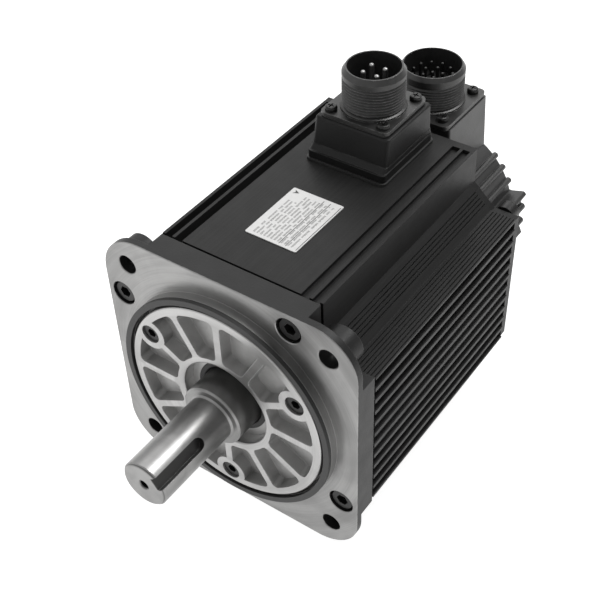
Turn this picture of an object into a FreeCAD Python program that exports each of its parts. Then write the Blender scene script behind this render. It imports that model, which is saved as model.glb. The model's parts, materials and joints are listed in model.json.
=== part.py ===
import FreeCAD, Part
import math
import os
import Sketcher

# Servo motor with a 130 mm square flange. Millimetres, +Z up. The origin is the centre of
# the flange's mounting face; the shaft points along -Y and the encoder end lies along +Y.

SIZES = {
    # front flange
    "flangeWidth": 130.0, "flangeCorner": 21.0, "plateDepth": 3.5, "bracketDepth": 12.0,
    "blockHalf": 40.0, "blockShoulder": 39.0, "earBoss": 8.5, "boltCircle": 145.0, "boltHole": 4.5,
    "edgeBreak": 0.3, "bracketScrewCircle": 65.3, "counterbore": 6.0, "counterboreFloor": 7.2,
    "pilotRadius": 55.0, "pilotInner": 52.0, "pilotLand": -4.0, "pilotFront": -6.0, "pilotRingOuter": 54.9,
    "recessFloor": 3.0, "registerRadius": 60.0, "jointGap": 1.0, "spigotDepth": 4.0, "spigotInner": 50.0,
    # ribbed front cover
    "coverRadius": 50.6, "coverFace": -5.6, "hubBore": 22.0, "hubRing": 25.2, "pocketOuter": 46.8,
    "pocketFloor": 0.4, "ribWidth": 3.4, "pocketCorner": 2.6, "coverScrewCircle": 44.0, "coverBoss": 7.8,
    "coverCounterbore": 4.7, "sealFront": 1.0, "sealBack": 8.0, "coverSpigotBack": 10.0,
    # shaft
    "shaftEnd": -58.0, "shaftRadius": 11.0, "shaftStep": -14.0, "journalRadius": 15.0, "shaftChamfer": 1.0,
    "keyWidth": 6.0, "keyEnd": -30.0, "keyDepth": 3.5, "keyAngle": 35.0, "tapRadius": 2.1, "tapDepth": 14.0,
    "collarRadius": 18.0, "collarBack": 30.0, "coreShaftRadius": 17.0, "coreShaftBack": 112.0,
    "rearCollarRadius": 13.0, "rearJournalRadius": 10.0, "encoderStub": 6.0, "shaftBack": 162.0,
    # bearings
    "frontOuter": 31.0, "frontFace": 10.0, "frontWidth": 16.0, "frontPitch": 23.0, "frontBall": 4.76,
    "rearOuter": 23.5, "rearFace": 120.0, "rearWidth": 14.0, "rearPitch": 16.75, "rearBall": 3.97,
    "raceClearance": 0.04, "pocketClearance": 0.10, "cageThick": 2.4, "hubFloor": 135.2,
    # frame
    "frameBore": 54.0, "frameBack": 133.0, "topHalf": 40.5, "shoulderTop": 47.0, "shoulderSide": 52.0,
    "ledge": 37.5, "finPitch": 6.8, "finGroove": 5.0, "finShallow": 1.6, "finMiddle": 3.0, "finDeep": 6.5,
    "finDeepest": 7.0, "finEnd": 5.4, "channelInner": 30.0, "channelRib": 34.0, "channelRibOuter": 35.5,
    "channelOuter": 39.0, "channelDeep": 5.0, "channelShallow": 1.8, "fineGroove": 0.45,
    "finePitch": 1.75, "cableHole": 10.0, "frameTap": 2.5, "boxTap": 2.0, "boxTapDepth": 5.0,
    # screw holes
    "bracketHole": 3.3, "coverTap": 2.55, "screwHole": 2.75, "footTap": 2.0, "smallHole": 2.2,
    "flangeTap": 1.5,
    # rear bracket and encoder cover
    "rearPlateBack": 138.0, "rearEdge": 1.0, "drumRadius": 40.2, "drumBack": 185.0, "drumWall": 3.5,
    "drumEdge": 2.0, "beadCircle": 40.6, "beadRadius": 1.6, "beadBack": 184.4, "sideReach": 45.0,
    "lipFoot": 7.0, "lipTip": 47.4, "lipHigh": 13.6, "sideBeadX": 45.6, "sideBeadZ": 4.4,
    "sideBeadRadius": 1.9, "footX": 44.5, "footZ": 19.5, "footRadius": 5.2, "footBack": 146.0,
    "encoderBoxHalf": 20.2, "encoderBoxFoot": 22.0, "encoderBoxTop": 61.0, "encoderBoxLow": 28.5,
    "encoderBoxFront": 148.0, "encoderBoxBack": 184.6, "encoderBoxCorner": 1.2,
    # encoder
    "encoderHubFront": 150.0, "encoderHubFlange": 157.0, "discFace": 159.0, "discThick": 1.2,
    "encoderHubRadius": 11.0, "discSeat": 14.0, "discRadius": 26.0, "boardFace": 168.0, "boardThick": 1.6,
    "boardEye": 4.0, "boardRadius": 33.0, "readerHalf": 6.0, "readerLow": 17.0, "readerHigh": 28.5,
    "postCircle": 31.0, "postRadius": 2.0, "encoderLead": 0.8, "encoderLeadStep": 4.0,
    # stator and rotor
    "coreFront": 40.0, "coreBack": 105.0, "statorBore": 32.0, "slotBottom": 46.0, "slotHalf": 3.5,
    "windingFront": 31.0, "windingBack": 118.0, "windingInner": 35.0, "windingOuter": 50.0,
    "rotorCore": 27.2, "magnetOuter": 31.0,
    # power connector and its box
    "powerY": 112.8, "powerFlange": 17.45, "powerPitch": 13.49, "powerBarrel": 14.2, "powerRim": 107.2,
    "powerBore": 12.0, "powerThroat": 13.0, "powerGasketTop": 66.3, "powerLedge": 70.0,
    "powerLedgeTop": 72.3, "powerBoxTop": 85.2, "powerBoxFront": 89.4, "powerBoxBack": 131.6,
    "powerBoxHalf": 20.1, "powerFaceFoot": 92.5, "powerFaceTop": 94.8, "powerChamber": 16.0,
    "boxScrewPitch": 12.4, "boxFloor": 68.8, "powerPinCircle": 4.95, "powerPin": 1.2, "powerLead": 1.3,
    # encoder connector
    "encoderY": 165.4, "encoderFlange": 19.7, "encoderPitch": 14.68, "encoderBarrel": 15.7,
    "encoderRim": 82.4, "encoderBore": 13.8, "encoderThroat": 14.4, "encoderPin": 0.8,
    # nameplate
    "plateX": 1.0, "plateY": 50.0, "plateWide": 26.0, "plateLong": 36.0, "plateThick": 0.4,
    "plateCorner": 0.8,
}

THREAD_PITCH = 1.411
RIB_COUNT = 12
SLOT_COUNT = 12
MAGNET_COUNT = 8
FRONT_BALLS = 9
REAR_BALLS = 8

# running and seating clearances between separate pieces
SLIP = 0.05
HAIR = 0.02

# fin groove depths, from the middle groove outwards
FIN_DEPTHS = ("finShallow", "finShallow", "finMiddle", "finDeep", "finDeepest", "finEnd")

# beads along the encoder cover, in degrees above +X: all round, and on its lower half only
BEADS_ALL_ROUND = (25, 36, 46)
BEADS_BELOW = (57, 68)

# cap screws: head radius and height, shank radius and length, socket radius
COVER_SCREW = ((4.25, 5.0), (2.45, 10.6), 2.3)
BRACKET_SCREW = ((5.0, 6.0), (2.45, 18.0), 2.9)
REAR_COVER_SCREW = ((3.5, 4.0), (1.95, 12.5), 1.7)

# cross-recessed screws: head radius and height, shank radius and length
POWER_FLANGE_SCREW = ((2.8, 2.1), (1.45, 9.0))
ENCODER_FLANGE_SCREW = ((2.8, 2.6), (1.45, 9.0))
BOX_SCREW = ((3.3, 2.4), (1.95, 8.0))

DOC = FreeCAD.newDocument("ServoMotor")
X_DIR = FreeCAD.Vector(1, 0, 0)
Y_DIR = FreeCAD.Vector(0, 1, 0)
Z_DIR = FreeCAD.Vector(0, 0, 1)
NODES = []


class Size:
    """A length that knows its value and the spreadsheet formula it comes from."""

    def __init__(self, text, value):
        self.text = text
        self.value = value

    def join(self, sign, other, value):
        return Size("(%s %s %s)" % (self.text, sign, formula(other)), value)

    def __add__(self, other):
        return self.join("+", other, self.value + number(other))

    def __sub__(self, other):
        return self.join("-", other, self.value - number(other))

    def __mul__(self, other):
        return self.join("*", other, self.value * number(other))

    def __truediv__(self, other):
        return self.join("/", other, self.value / number(other))

    def __neg__(self):
        return Size("(0 - %s)" % self.text, -self.value)

    __radd__ = __add__
    __rmul__ = __mul__

    def __rsub__(self, other):
        return -self + other


def number(size):
    return size.value if isinstance(size, Size) else float(size)


def formula(size):
    return size.text if isinstance(size, Size) else "%.6f" % size


class Dims:
    """The driving dimensions, one spreadsheet cell each, read as attributes."""


def make_sheet():
    sheet = DOC.addObject("Spreadsheet::Sheet", "Dims")
    for row, (alias, value) in enumerate(SIZES.items(), start=1):
        sheet.set("A%d" % row, alias)
        sheet.set("B%d" % row, "%.4f" % value)
        sheet.setAlias("B%d" % row, alias)
        setattr(Dims, alias, Size("Dims.%s" % alias, value))
    DOC.recompute()


# ---------------------------------------------------------------- document helpers

def node(item, label):
    """Name a finished sub-part and list it for export."""
    item.Label = label
    NODES.append(item)
    return item


def bind(item, **sizes):
    for name, size in sizes.items():
        setattr(item, name, number(size))
        if isinstance(size, Size):
            item.setExpression(name, size.text)


def place(item, x, y, z, rotation=None):
    item.Placement = FreeCAD.Placement(
        FreeCAD.Vector(number(x), number(y), number(z)), rotation or FreeCAD.Rotation())
    for axis, size in zip("xyz", (x, y, z)):
        if isinstance(size, Size):
            item.setExpression("Placement.Base.%s" % axis, size.text)


def along(direction):
    return FreeCAD.Rotation(Z_DIR, direction)


def cylinder(name, radius, start, length, direction=Y_DIR):
    item = DOC.addObject("Part::Cylinder", name)
    bind(item, Radius=radius, Height=length)
    place(item, *start, along(direction))
    return item


def block(name, low, high):
    item = DOC.addObject("Part::Box", name)
    bind(item, Length=high[0] - low[0], Width=high[1] - low[1], Height=high[2] - low[2])
    place(item, *low)
    return item


def swung(item, angle):
    """Turn an item that was set out along +X about the Y axis, by angle towards +Z."""
    for axis in "xyz":
        item.setExpression("Placement.Base.%s" % axis, None)
    spin = FreeCAD.Placement(FreeCAD.Vector(), FreeCAD.Rotation(Y_DIR, -number(angle)))
    item.Placement = spin.multiply(item.Placement)
    return item


def sphere(name, radius, x, y, z):
    item = DOC.addObject("Part::Sphere", name)
    bind(item, Radius=radius)
    place(item, x, y, z)
    return item


def hexagon(name, radius, start, length, direction):
    item = DOC.addObject("Part::Prism", name)
    item.Polygon = 6
    bind(item, Circumradius=radius, Height=length)
    place(item, *start, along(direction))
    return item


def tapered_box(name, foot, top, low, high):
    """A box whose plan goes from foot to top, each (x0, x1, y0, y1), as Z goes low to high."""
    item = DOC.addObject("Part::Wedge", name)
    bind(item, Xmin=foot[0], Xmax=foot[1], Zmin=-foot[3], Zmax=-foot[2],
         X2min=top[0], X2max=top[1], Z2min=-top[3], Z2max=-top[2], Ymin=low, Ymax=high)
    item.Placement = FreeCAD.Placement(FreeCAD.Vector(), FreeCAD.Rotation(X_DIR, 90))
    return item


def fuse(name, items):
    item = DOC.addObject("Part::MultiFuse", name)
    item.Shapes = items
    item.Refine = True
    return item


def cut(name, base, tools):
    tool = tools[0] if len(tools) == 1 else fuse(name + "_tools", tools)
    item = DOC.addObject("Part::Cut", name)
    item.Base = base
    item.Tool = tool
    return item


def bundle(name, items):
    item = DOC.addObject("Part::Compound", name)
    item.Links = items
    return item


def group(label, items):
    """Identical separate solids held in one node."""
    return node(bundle(label, items), label)


def edges_where(shape, test):
    return [index for index, edge in enumerate(shape.Edges, start=1) if test(edge)]


def middle(edge):
    return edge.valueAt((edge.FirstParameter + edge.LastParameter) / 2)


def runs_along(edge, direction):
    if not isinstance(edge.Curve, Part.Line):
        return False
    return abs(abs(edge.Curve.Direction.dot(direction)) - 1) < 1e-4


def rises(edge):
    return len(edge.Vertexes) == 2 and abs(edge.Vertexes[0].Z - edge.Vertexes[1].Z) > 1.0


def dressed(name, kind, base, radius, test):
    """A Part fillet or chamfer on the edges of base that pass the test."""
    base.recompute(True)
    item = DOC.addObject(kind, name)
    item.Base = base
    item.Edges = [(index, number(radius), number(radius)) for index in edges_where(base.Shape, test)]
    return item


def body(label):
    return node(DOC.addObject("PartDesign::Body", label), label)


def origin_part(owner, role):
    return next(part for part in owner.Origin.OriginFeatures if part.Role == role)


def sketch_on(owner, name, plane="XZ_Plane", level=0.0):
    """A sketch on one of the body's own planes; level is measured along +X, +Y or +Z."""
    sketch = owner.newObject("Sketcher::SketchObject", name)
    sketch.AttachmentSupport = [(origin_part(owner, plane), "")]
    sketch.MapMode = "FlatFace"
    offset = -level if plane == "XZ_Plane" else level
    sketch.AttachmentOffset = FreeCAD.Placement(
        FreeCAD.Vector(0, 0, number(offset)), FreeCAD.Rotation())
    if isinstance(level, Size):
        sketch.setExpression("AttachmentOffset.Base.z", offset.text)
    return sketch


def pin_point(sketch, index, corner, point):
    """Hold a sketch point at its place and bind each coordinate that comes from the sheet."""
    for kind, size in zip(("DistanceX", "DistanceY"), point):
        if isinstance(size, Size):
            bound = sketch.addConstraint(Sketcher.Constraint(kind, -1, 1, index, corner, size.value))
            sketch.setExpression("Constraints[%d]" % bound, size.text)


def outline(sketch, points):
    """A closed outline of straight lines whose corners are bound to the sheet."""
    vectors = [FreeCAD.Vector(number(x), number(y), 0) for x, y in points]
    lines = [Part.LineSegment(a, b) for a, b in zip(vectors, vectors[1:] + vectors[:1])]
    ids = [sketch.addGeometry(line) for line in lines]
    for here, after in zip(ids, ids[1:] + ids[:1]):
        sketch.addConstraint(Sketcher.Constraint("Coincident", here, 2, after, 1))
    for line_id, point in zip(ids, points):
        pin_point(sketch, line_id, 1, point)
    return sketch


def circles(sketch, centres, radius):
    for x, y in centres:
        centre = FreeCAD.Vector(number(x), number(y), 0)
        index = sketch.addGeometry(Part.Circle(centre, Z_DIR, number(radius)))
        bound = sketch.addConstraint(Sketcher.Constraint("Radius", index, number(radius)))
        if isinstance(radius, Size):
            sketch.setExpression("Constraints[%d]" % bound, radius.text)
        pin_point(sketch, index, 3, (x, y))
    return sketch


def extrude(owner, kind, sketch, length, positive):
    """A Pad or Pocket of the sketch; positive goes towards +Y or +Z."""
    feature = owner.newObject("PartDesign::" + kind, sketch.Name + "_" + kind)
    feature.Profile = sketch
    bind(feature, Length=length)
    downward = sketch.AttachmentSupport[0][0].Role == "XZ_Plane"
    feature.Reversed = (positive == downward) == (kind == "Pad")
    sketch.Visibility = False
    return feature


def pad(owner, sketch, length, positive=True):
    return extrude(owner, "Pad", sketch, length, positive)


def pocket(owner, sketch, length, positive=True):
    before = body_volume(owner)
    feature = extrude(owner, "Pocket", sketch, length, positive)
    if body_volume(owner) >= before - 1e-6:
        raise ValueError("%s cuts nothing" % feature.Name)
    return feature


def body_volume(owner):
    owner.recompute(True)
    return owner.Shape.Volume


def revolve(owner, name, points, plane="XY_Plane", level=0.0, kind="Revolution"):
    """Turn an outline of (radius, height) points about the sketch's vertical axis."""
    sketch = outline(sketch_on(owner, name, plane, level), points)
    feature = owner.newObject("PartDesign::" + kind, name + "_turned")
    feature.Profile = sketch
    feature.ReferenceAxis = (sketch, ["V_Axis"])
    feature.Angle = 360
    sketch.Visibility = False
    return feature


def polar(owner, feature, count, axis="Y_Axis"):
    pattern = owner.newObject("PartDesign::PolarPattern", feature.Name + "_ring")
    pattern.Originals = [feature]
    pattern.Axis = (origin_part(owner, axis), [""])
    pattern.Angle = 360
    pattern.Occurrences = count
    owner.Tip = pattern
    return pattern


def dress_body(owner, kind, radius, test):
    """A PartDesign Fillet or Chamfer on the edges of the body's tip that pass the test."""
    owner.recompute(True)
    tip = owner.Tip
    names = ["Edge%d" % index for index in edges_where(tip.Shape, test)]
    feature = owner.newObject("PartDesign::" + kind, "%s_%s" % (owner.Name, kind.lower()))
    feature.Base = (tip, names)
    bind(feature, **{"Radius" if kind == "Fillet" else "Size": radius})
    return feature


def ring_at(radius, height, axis="y"):
    """Test for a circular edge of this radius at this height along the axis."""
    def test(edge):
        round_edge = isinstance(edge.Curve, Part.Circle) and abs(edge.Curve.Radius - number(radius)) < 0.01
        return round_edge and abs(getattr(middle(edge), axis) - number(height)) < 0.01
    return test


def turn_point(radius, degrees):
    """A point on a circle about the Y axis, as (x, z) sizes."""
    angle = math.radians(degrees)
    return radius * math.cos(angle), radius * math.sin(angle)


def square_points(half, x=0.0, y=0.0):
    return [(x - half, y - half), (x + half, y - half), (x + half, y + half), (x - half, y + half)]


def sleeve(label, inner, outer, front, back):
    """A plain turned ring about the Y axis."""
    owner = body(label)
    revolve(owner, label + "_profile", [(inner, front), (outer, front), (outer, back), (inner, back)])
    return owner


# ---------------------------------------------------------------- screws

def socket_screw(name, seat, direction, head, shank, hex_radius):
    """A cap screw: seat is the underside of its head; head and shank are (radius, length)."""
    back = direction.negative()
    head_body = cylinder(name + "_head", head[0], seat, head[1], back)
    shank_body = cylinder(name + "_shank", shank[0], seat, shank[1], direction)
    top = [number(p) + q * head[1] for p, q in zip(seat, back)]
    socket = hexagon(name + "_socket", hex_radius, top, head[1] * 0.6, direction)
    return cut(name, fuse(name + "_blank", [head_body, shank_body]), [socket])


def pan_screw(name, seat, head, shank):
    """A cross-recessed pan-head screw pointing down, its head's underside at seat."""
    x, y, z = seat
    disc = cylinder(name + "_disc", head[0], seat, head[1], Z_DIR)
    dome = dressed(name + "_dome", "Part::Fillet", disc, head[1] * 0.45,
                   ring_at(head[0], number(z) + head[1], "z"))
    stem = cylinder(name + "_stem", shank[0], (x, y, z - shank[1]), shank[1] + 0.2, Z_DIR)
    blank = fuse(name + "_blank", [dome, stem])
    slot_low = z + head[1] * 0.45
    slot_high = z + head[1] * 1.2
    arm, web = head[0] * 0.55, head[0] * 0.12
    slots = [block(name + "_slot_x", (x - arm, y - web, slot_low), (x + arm, y + web, slot_high)),
             block(name + "_slot_y", (x - web, y - arm, slot_low), (x + web, y + arm, slot_high))]
    return cut(name, blank, slots)


BRACKET_SCREW_ANGLES = (60, 150, 240, 330)
COVER_SCREW_ANGLES = (30, 150, 270)


def bracket_screw_places():
    return [turn_point(Dims.bracketScrewCircle, angle) for angle in BRACKET_SCREW_ANGLES]


def rear_screw_places():
    """The front pattern as it looks from behind."""
    return [(-x, z) for x, z in bracket_screw_places()]


def cover_screw_places():
    return [turn_point(Dims.coverScrewCircle, angle) for angle in COVER_SCREW_ANGLES]


def box_screw_places():
    return square_points(Dims.boxScrewPitch, 0.0, Dims.powerY)


def bolt_places():
    return [turn_point(Dims.boltCircle / 2, angle) for angle in (45, 135, 225, 315)]


# ---------------------------------------------------------------- front end

def make_front_flange():
    """The machined front bracket: thin square plate, notched block, ear bosses and bearing hub."""
    part = body("front_flange")
    half = Dims.flangeWidth / 2
    pad(part, outline(sketch_on(part, "flange_plate"), square_points(half)), Dims.plateDepth)
    dress_body(part, "Fillet", Dims.flangeCorner, lambda edge: runs_along(edge, Y_DIR))
    wide, tall = half, Dims.blockShoulder
    narrow = Dims.blockHalf
    cross = [(narrow, tall), (narrow, wide), (-narrow, wide), (-narrow, tall), (-wide, tall),
             (-wide, -tall), (-narrow, -tall), (-narrow, -wide), (narrow, -wide), (narrow, -tall),
             (wide, -tall), (wide, tall)]
    pad(part, outline(sketch_on(part, "flange_block"), cross), Dims.bracketDepth)
    bosses = circles(sketch_on(part, "ear_bosses"), bolt_places(), Dims.earBoss)
    pad(part, bosses, Dims.bracketDepth)
    middle_hole = circles(sketch_on(part, "flange_middle"), [(0.0, 0.0)], Dims.pilotInner)
    pocket(part, middle_hole, Dims.bracketDepth)
    register_back = Dims.bracketDepth + Dims.jointGap
    spigot_back = register_back + Dims.spigotDepth
    spigot = Dims.frameBore - SLIP
    hub_outer, hub_back, stop = Dims.frontOuter + 6, Dims.frontFace + Dims.frontWidth + 3, Dims.frontOuter - 4
    seat_back = Dims.frontFace + Dims.frontWidth
    revolve(part, "pilot_and_hub", [
        (Dims.pilotInner, Dims.pilotLand), (Dims.pilotRadius, Dims.pilotLand),
        (Dims.pilotRadius, Dims.recessFloor), (Dims.registerRadius, Dims.recessFloor),
        (Dims.registerRadius, register_back), (spigot, register_back), (spigot, spigot_back),
        (Dims.spigotInner, spigot_back), (Dims.spigotInner, Dims.bracketDepth),
        (hub_outer, Dims.bracketDepth), (hub_outer, hub_back), (stop, hub_back), (stop, seat_back),
        (Dims.frontOuter, seat_back), (Dims.frontOuter, Dims.recessFloor),
        (Dims.pilotInner, Dims.recessFloor)])
    bolts = circles(sketch_on(part, "bolt_holes"), bolt_places(), Dims.boltHole)
    pocket(part, bolts, Dims.bracketDepth)
    clear = circles(sketch_on(part, "bracket_screw_holes"), bracket_screw_places(), Dims.bracketHole)
    pocket(part, clear, Dims.bracketDepth + 2)
    sink = circles(sketch_on(part, "bracket_screw_sinks"), bracket_screw_places(), Dims.counterbore)
    pocket(part, sink, Dims.counterboreFloor)
    taps = circles(sketch_on(part, "cover_taps", level=Dims.recessFloor), cover_screw_places(), Dims.coverTap)
    pocket(part, taps, Dims.bracketDepth - Dims.recessFloor)
    outer = number(half) - 0.01

    def rim(edge):
        point = middle(edge)
        corner = ring_at(Dims.flangeCorner, 0.0)(edge)
        return abs(point.y) < 0.01 and (corner or max(abs(point.x), abs(point.z)) > outer)
    dress_body(part, "Chamfer", Dims.edgeBreak, rim)
    dress_body(part, "Chamfer", 0.4, ring_at(Dims.boltHole, 0.0))
    dress_body(part, "Chamfer", 0.3, ring_at(Dims.counterbore, 0.0))


def make_pilot_ring():
    """The dark ring that forms the pilot's front edge."""
    sleeve("pilot_ring", Dims.pilotInner + 0.1, Dims.pilotRingOuter, Dims.pilotFront, Dims.pilotLand)


def pocket_outline(sketch):
    """One cover pocket between the ribs at 0 and 30 degrees, with rounded corners."""
    half_rib = Dims.ribWidth.value / 2
    step = math.radians(360 / RIB_COUNT)
    inner, outer, corner = Dims.hubRing.value, Dims.pocketOuter.value, Dims.pocketCorner.value

    def flank(radius, side):
        along_rib = math.sqrt(radius ** 2 - half_rib ** 2)
        if side == 0:
            return FreeCAD.Vector(along_rib, half_rib, 0)
        return FreeCAD.Vector(along_rib * math.cos(step) + half_rib * math.sin(step),
                              along_rib * math.sin(step) - half_rib * math.cos(step), 0)

    def arc(radius, first, last):
        angles = [math.atan2(point.y, point.x) for point in (first, last)]
        return Part.ArcOfCircle(Part.Circle(FreeCAD.Vector(), Z_DIR, radius), min(angles), max(angles))
    corners = [flank(inner, 0), flank(outer, 0), flank(outer, 1), flank(inner, 1)]
    pieces = [Part.LineSegment(corners[0], corners[1]), arc(outer, corners[1], corners[2]),
              Part.LineSegment(corners[2], corners[3]), arc(inner, corners[3], corners[0])]
    ids = [sketch.addGeometry(piece) for piece in pieces]
    ends = [(0, 2, 1, 1), (1, 2, 2, 1), (2, 2, 3, 2), (3, 1, 0, 1)]
    for first, first_end, second, second_end in ends:
        sketch.addConstraint(
            Sketcher.Constraint("Coincident", ids[first], first_end, ids[second], second_end))
    for curve, size in ((1, Dims.pocketOuter), (3, Dims.hubRing)):
        sketch.addConstraint(Sketcher.Constraint("Coincident", ids[curve], 3, -1, 1))
        bound = sketch.addConstraint(Sketcher.Constraint("Radius", ids[curve], size.value))
        sketch.setExpression("Constraints[%d]" % bound, size.text)
    return corner


def make_front_cover():
    """The cast and turned cover: twelve ribs, rim, hub with the seal bore and bearing spigot."""
    part = body("front_cover")
    spigot = Dims.frontOuter - SLIP
    relief, lip = Dims.frontOuter - 3.5, Dims.frontPitch - 4
    revolve(part, "cover_blank", [
        (Dims.hubBore, Dims.coverFace), (Dims.coverRadius, Dims.coverFace),
        (Dims.coverRadius, Dims.recessFloor), (spigot, Dims.recessFloor), (spigot, Dims.coverSpigotBack),
        (relief, Dims.coverSpigotBack), (relief, Dims.sealBack + 1), (lip, Dims.sealBack + 1),
        (lip, Dims.sealBack), (Dims.hubBore, Dims.sealBack)])
    dress_body(part, "Fillet", 1.4, ring_at(Dims.hubBore, Dims.coverFace))
    sketch = sketch_on(part, "cover_pocket", level=Dims.coverFace)
    corner = pocket_outline(sketch)
    depth = Dims.pocketFloor - Dims.coverFace
    hollow = pocket(part, sketch, depth)
    hollow.TaperAngle = -6
    polar(part, hollow, RIB_COUNT)
    floor_y = Dims.pocketFloor.value

    def pocket_corner(edge):
        low, high = sorted(vertex.Point.y for vertex in edge.Vertexes) if len(edge.Vertexes) == 2 else (0, 0)
        return abs(high - floor_y) < 0.01 and abs(low - Dims.coverFace.value) < 0.01
    dress_body(part, "Fillet", corner, pocket_corner)
    bosses = circles(sketch_on(part, "cover_bosses", level=Dims.coverFace), cover_screw_places(),
                     Dims.coverBoss)
    pad(part, bosses, depth + 0.5)
    outside, behind = Dims.coverRadius + 3, Dims.pocketFloor + 1
    revolve(part, "boss_trim", [(Dims.coverRadius, Dims.coverFace - 1), (outside, Dims.coverFace - 1),
                                (outside, behind), (Dims.coverRadius, behind)], kind="Groove")
    holes = circles(sketch_on(part, "cover_holes", level=Dims.coverFace), cover_screw_places(),
                    Dims.screwHole)
    pocket(part, holes, depth + 6)
    sinks = circles(sketch_on(part, "cover_sinks", level=Dims.coverFace), cover_screw_places(),
                    Dims.coverCounterbore)
    pocket(part, sinks, depth)
    dress_body(part, "Chamfer", 0.4, ring_at(Dims.coverRadius, Dims.coverFace))


def make_front_screws():
    covers = [socket_screw("cover_screw_%d" % index, (x, Dims.pocketFloor, z), Y_DIR, *COVER_SCREW)
              for index, (x, z) in enumerate(cover_screw_places())]
    group("front_cover_screws", covers)
    brackets = [socket_screw("bracket_screw_%d" % index, (x, Dims.counterboreFloor, z), Y_DIR,
                             *BRACKET_SCREW)
                for index, (x, z) in enumerate(bracket_screw_places())]
    group("bracket_screws", brackets)


def make_oil_seal():
    """Steel case and rubber lip ring of the shaft seal."""
    case = body("oil_seal_case")
    outer, wall = Dims.hubBore - HAIR, 1.0
    revolve(case, "seal_case", [
        (outer - 4, Dims.sealFront), (outer, Dims.sealFront), (outer, Dims.sealBack),
        (outer - wall, Dims.sealBack), (outer - wall, Dims.sealFront + wall),
        (outer - 4, Dims.sealFront + wall)])
    lip = body("oil_seal_lip")
    bore = Dims.journalRadius + SLIP
    body_outer = outer - wall - HAIR
    revolve(lip, "seal_lip", [
        (bore + 0.8, Dims.sealFront - 0.4), (outer - 4.05, Dims.sealFront - 0.4),
        (outer - 4.05, Dims.sealFront + wall + HAIR), (body_outer, Dims.sealFront + wall + HAIR),
        (body_outer, Dims.sealFront + 2.6), (bore + 2.4, Dims.sealFront + 3.0),
        (bore + 2.2, Dims.sealBack - 1.2), (bore, Dims.sealBack - 2.2), (bore + 0.9, Dims.sealFront + 2.4),
        (bore, Dims.sealFront + 0.4)])


# ---------------------------------------------------------------- bearings

def make_bearing(side, bore, outer, face, width, pitch, ball, count):
    """Outer ring, inner ring, balls, cage and two shields of a deep-groove ball bearing."""
    centre = face + width / 2
    back = face + width
    groove = ball + Dims.raceClearance
    outer_land = pitch + ball * 0.85
    inner_land = pitch - ball * 0.85
    race = DOC.addObject("Part::Torus", side + "_race")
    bind(race, Radius1=pitch, Radius2=groove)
    place(race, 0, centre, 0, along(Y_DIR))
    outer_blank = cut(side + "_outer_blank", cylinder(side + "_outer_rod", outer, (0, face, 0), width),
                      [cylinder(side + "_outer_hole", outer_land, (0, face - 1, 0), width + 2)])
    node(cut(side + "_outer", outer_blank, [race]), side + "_bearing_outer_ring")
    inner_blank = cut(side + "_inner_blank", cylinder(side + "_inner_rod", inner_land, (0, face, 0), width),
                      [cylinder(side + "_inner_hole", bore, (0, face - 1, 0), width + 2)])
    node(cut(side + "_inner", inner_blank, [race]), side + "_bearing_inner_ring")
    places = [turn_point(pitch, index * 360 / count) for index in range(count)]
    balls = [sphere("%s_ball_%d" % (side, index), ball, x, centre, z)
             for index, (x, z) in enumerate(places)]
    group(side + "_bearing_balls", balls)
    half_cage = ball * 1.12
    half_web = Dims.cageThick / 2
    rod = cylinder(side + "_cage_rod", pitch + half_web, (0, centre - half_cage, 0), half_cage * 2)
    hole = cylinder(side + "_cage_hole", pitch - half_web, (0, centre - half_cage - 1, 0), half_cage * 2 + 2)
    pockets = []
    for index in range(count):
        drill = cylinder("%s_cage_pocket_%d" % (side, index), ball + Dims.pocketClearance,
                         (pitch - 4, centre, 0), 8, X_DIR)
        pockets.append(swung(drill, index * 360 / count))
    blank = cut(side + "_cage_blank", rod, [hole])
    node(cut(side + "_cage", blank, [bundle(side + "_cage_pockets", pockets)]), side + "_bearing_cage")
    shields = []
    for name, start in (("front", face + 0.4), ("back", back - 0.9)):
        disc = cylinder("%s_shield_%s" % (side, name), outer_land - 0.02, (0, start, 0), 0.5)
        eye = cylinder("%s_eye_%s" % (side, name), inner_land + 0.3, (0, start - 1, 0), 3)
        shields.append(cut("%s_shield_ring_%s" % (side, name), disc, [eye]))
    group(side + "_bearing_shields", shields)


def make_bearings():
    make_bearing("front", Dims.journalRadius, Dims.frontOuter, Dims.frontFace, Dims.frontWidth,
                 Dims.frontPitch, Dims.frontBall, FRONT_BALLS)
    make_bearing("rear", Dims.rearJournalRadius, Dims.rearOuter, Dims.rearFace, Dims.rearWidth,
                 Dims.rearPitch, Dims.rearBall, REAR_BALLS)
    sleeve("wave_washer", Dims.rearOuter - 4.5, Dims.rearOuter - 0.3, Dims.rearFace + Dims.rearWidth,
           Dims.hubFloor)


# ---------------------------------------------------------------- rotor

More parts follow.
